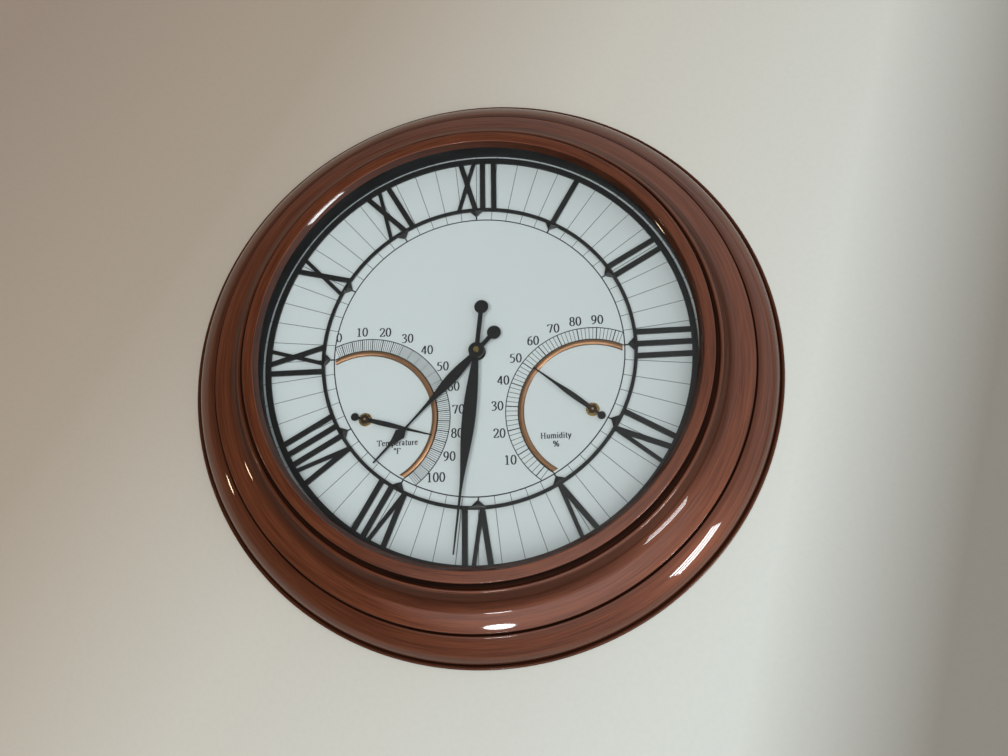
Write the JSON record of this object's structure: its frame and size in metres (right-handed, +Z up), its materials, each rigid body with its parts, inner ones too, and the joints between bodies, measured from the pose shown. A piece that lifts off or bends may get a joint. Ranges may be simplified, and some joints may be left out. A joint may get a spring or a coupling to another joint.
{
  "type": "wall clock with thermometer and hygrometer",
  "caption": "Round wall clock with a stepped copper-look frame, raised Roman numerals, two hands, and thermometer and hygrometer pointers on its dial, driven by a quartz movement.",
  "frame": {"origin": "on the wall plane, where the hands' axis meets it", "axes": "+Z up, +Y into the wall, the dial faces -Y, +X to the viewer's right"},
  "size_m": [0.4572, 0.0524, 0.4572],
  "materials": {
    "copper_lacquer": "brushed copper lacquer under a clear gloss coat",
    "clear_glass": "clear, polished",
    "black_rubber": "soft matt",
    "black_satin": "satin black",
    "white_dial": "cool white enamel with printed marks",
    "black_enamel": "semi-gloss black enamel",
    "copper_trim": "polished copper",
    "brass": "turned brass",
    "zinc_steel": "bright zinc",
    "dark_board": "dark hardboard, smooth face",
    "movement_black": "fine moulded texture",
    "gear_white": "natural moulded nylon",
    "knob_grey": "ribbed moulded plastic",
    "board_green": "solder-masked circuit board",
    "motor_iron": "stamped iron",
    "winding_copper": "enamelled copper winding",
    "coil_strip": "rolled strip",
    "cell_jacket": "plain printed jacket"
  },
  "bodies": {
    "case": {"outer_frame": "copper_lacquer", "front_bezel": "copper_lacquer", "bezel_screws": "zinc_steel", "lens_gasket": "black_rubber", "glass_lens": "clear_glass", "inner_wall_ring": "black_satin", "dial_plate": "white_dial", "dial_screws": "zinc_steel", "numeral_ring": "black_enamel", "numeral_ring_studs": "black_enamel", "thermometer_band": "copper_trim", "hygrometer_band": "copper_trim", "rear_cover": "dark_board", "rear_cover_screws": "zinc_steel", "hanger_bracket": "zinc_steel", "hanger_rivets": "zinc_steel", "movement_case": "movement_black", "movement_back_cover": "movement_black", "centre_bushing": "brass", "rubber_washer": "black_rubber", "plate_washer": "black_enamel", "bushing_nut": "black_enamel", "motor_stator": "motor_iron", "stepper_coil": "winding_copper", "circuit_board": "board_green", "driver_chip": "movement_black", "quartz_crystal": "zinc_steel", "battery_cell": "cell_jacket", "plus_contact": "zinc_steel", "minus_contact": "zinc_steel", "thermometer_housing": "movement_black", "thermometer_bush": "brass", "thermometer_coil": "coil_strip", "hygrometer_housing": "movement_black", "hygrometer_bush": "brass", "hygrometer_coil": "coil_strip"},
    "minute_works": {"minute_arbor": "brass", "minute_hand": "black_enamel", "minute_hand_nut": "brass"},
    "hour_works": {"hour_wheel": "gear_white", "hour_hand": "black_enamel"},
    "setting_works": {"minute_wheel": "gear_white", "setting_knob": "knob_grey"},
    "rotor_works": {"rotor": "gear_white"},
    "intermediate_works": {"intermediate_wheel": "gear_white"},
    "second_works": {"second_wheel": "gear_white"},
    "third_works": {"third_wheel": "gear_white"},
    "centre_works": {"centre_wheel": "gear_white"},
    "thermometer_works": {"thermometer_arbor": "zinc_steel", "thermometer_pointer": "black_enamel"},
    "hygrometer_works": {"hygrometer_arbor": "zinc_steel", "hygrometer_pointer": "black_enamel"}
  },
  "joints": [
    {"name": "minute_hand_turn", "type": "hinge", "parent": "case", "child": "minute_works", "pos_m": [0, 0, 0], "axis": [0, 1, 0], "continuous": true},
    {"name": "hour_hand_turn", "type": "hinge", "parent": "case", "child": "hour_works", "pos_m": [0, 0, 0], "axis": [0, 1, 0], "continuous": true},
    {"name": "setting_knob_turn", "type": "hinge", "parent": "case", "child": "setting_works", "pos_m": [-0.011, 0, 0], "axis": [0, 1, 0], "continuous": true},
    {"name": "rotor_turn", "type": "hinge", "parent": "case", "child": "rotor_works", "pos_m": [0.0109, 0, -0.00891], "axis": [0, 1, 0], "continuous": true},
    {"name": "intermediate_wheel_turn", "type": "hinge", "parent": "case", "child": "intermediate_works", "pos_m": [0.01624, 0, -0.00357], "axis": [0, 1, 0], "continuous": true},
    {"name": "second_wheel_turn", "type": "hinge", "parent": "case", "child": "second_works", "pos_m": [0.01414, 0, 0.00426], "axis": [0, 1, 0], "continuous": true},
    {"name": "third_wheel_turn", "type": "hinge", "parent": "case", "child": "third_works", "pos_m": [0.00619, 0, 0.00885], "axis": [0, 1, 0], "continuous": true},
    {"name": "centre_wheel_turn", "type": "hinge", "parent": "case", "child": "centre_works", "pos_m": [0, 0, 0], "axis": [0, 1, 0], "continuous": true},
    {"name": "thermometer_pointer_turn", "type": "hinge", "parent": "case", "child": "thermometer_works", "pos_m": [-0.08444, 0, -0.04875], "axis": [0, 1, 0], "range_deg": [-128, 36], "stiffness_Nm_per_rad": 0.004},
    {"name": "hygrometer_pointer_turn", "type": "hinge", "parent": "case", "child": "hygrometer_works", "pos_m": [0.08444, 0, -0.04875], "axis": [0, 1, 0], "range_deg": [-87, 70], "stiffness_Nm_per_rad": 0.004}
  ],
  "couplings": [
    {"joint": "hour_hand_turn", "follows": "minute_hand_turn", "ratio": 0.083333},
    {"joint": "setting_knob_turn", "follows": "minute_hand_turn", "ratio": -0.33333},
    {"joint": "intermediate_wheel_turn", "follows": "rotor_turn", "ratio": -0.16667},
    {"joint": "second_wheel_turn", "follows": "rotor_turn", "ratio": 0.033333},
    {"joint": "third_wheel_turn", "follows": "rotor_turn", "ratio": -0.0044444},
    {"joint": "centre_wheel_turn", "follows": "rotor_turn", "ratio": 0.00055556}
  ]
}
